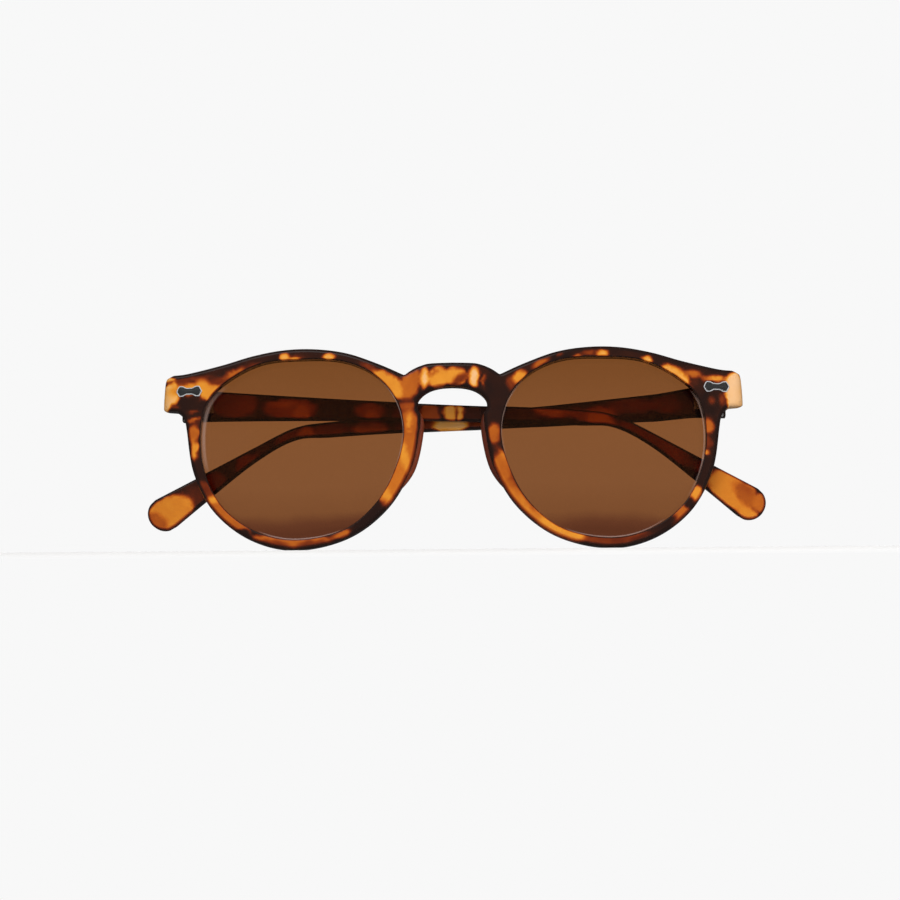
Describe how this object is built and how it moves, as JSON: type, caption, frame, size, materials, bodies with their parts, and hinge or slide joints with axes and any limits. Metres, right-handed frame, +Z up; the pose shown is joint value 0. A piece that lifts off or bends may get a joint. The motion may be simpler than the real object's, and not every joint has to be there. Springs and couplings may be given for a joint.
{
  "type": "folding sunglasses",
  "caption": "Folding sunglasses with a round tortoiseshell acetate front, keyhole bridge, brown polarised lenses, metal plaques and hinged temples.",
  "frame": {"origin": "under the middle of the folded glasses, at the height of the lowest points of the two rims; X = 0 is the middle of the bridge", "axes": "+Z up, +X from the wearer's right side to the left side, +Y from the face of the lenses towards the wearer, so the front faces -Y"},
  "size_m": [0.1546, 0.0208, 0.0499],
  "materials": {
    "front_acetate": "polished tortoiseshell acetate, amber to near black",
    "temple_acetate": "polished tortoiseshell acetate, mostly dark brown",
    "pad_acetate": "polished tortoiseshell acetate",
    "lens_outer": "polished brown tint",
    "lens_film": "thin neutral film",
    "lens_inner": "polished brown tint",
    "plaque_metal": "dark satin with a bright rim",
    "hinge_metal": "satin",
    "screw_steel": "bright",
    "rivet_metal": "satin"
  },
  "bodies": {
    "front": {"front_frame": "front_acetate", "lens_outer_sheet_right": "lens_outer", "lens_outer_sheet_left": "lens_outer", "polarising_film_right": "lens_film", "polarising_film_left": "lens_film", "lens_inner_sheet_right": "lens_inner", "lens_inner_sheet_left": "lens_inner", "nose_pad_right": "pad_acetate", "nose_pad_left": "pad_acetate", "front_plaque_right": "plaque_metal", "front_plaque_left": "plaque_metal", "front_hinge_leaf_right": "hinge_metal", "front_hinge_leaf_left": "hinge_metal", "hinge_screw_right": "screw_steel", "hinge_screw_left": "screw_steel"},
    "right_temple": {"temple_right": "temple_acetate", "temple_hinge_leaf_right": "hinge_metal", "temple_rivets_right": "rivet_metal"},
    "left_temple": {"temple_left": "temple_acetate", "temple_hinge_leaf_left": "hinge_metal", "temple_rivets_left": "rivet_metal"}
  },
  "joints": [
    {"name": "right_temple_hinge", "type": "hinge", "parent": "front", "child": "right_temple", "pos_m": [-0.0669, 0.00159, 0.03855], "axis": [0, 0, 1], "range_deg": [0, 90]},
    {"name": "left_temple_hinge", "type": "hinge", "parent": "front", "child": "left_temple", "pos_m": [0.0669, 0.00159, 0.03855], "axis": [0, 0, -1], "range_deg": [0, 86.6]}
  ]
}
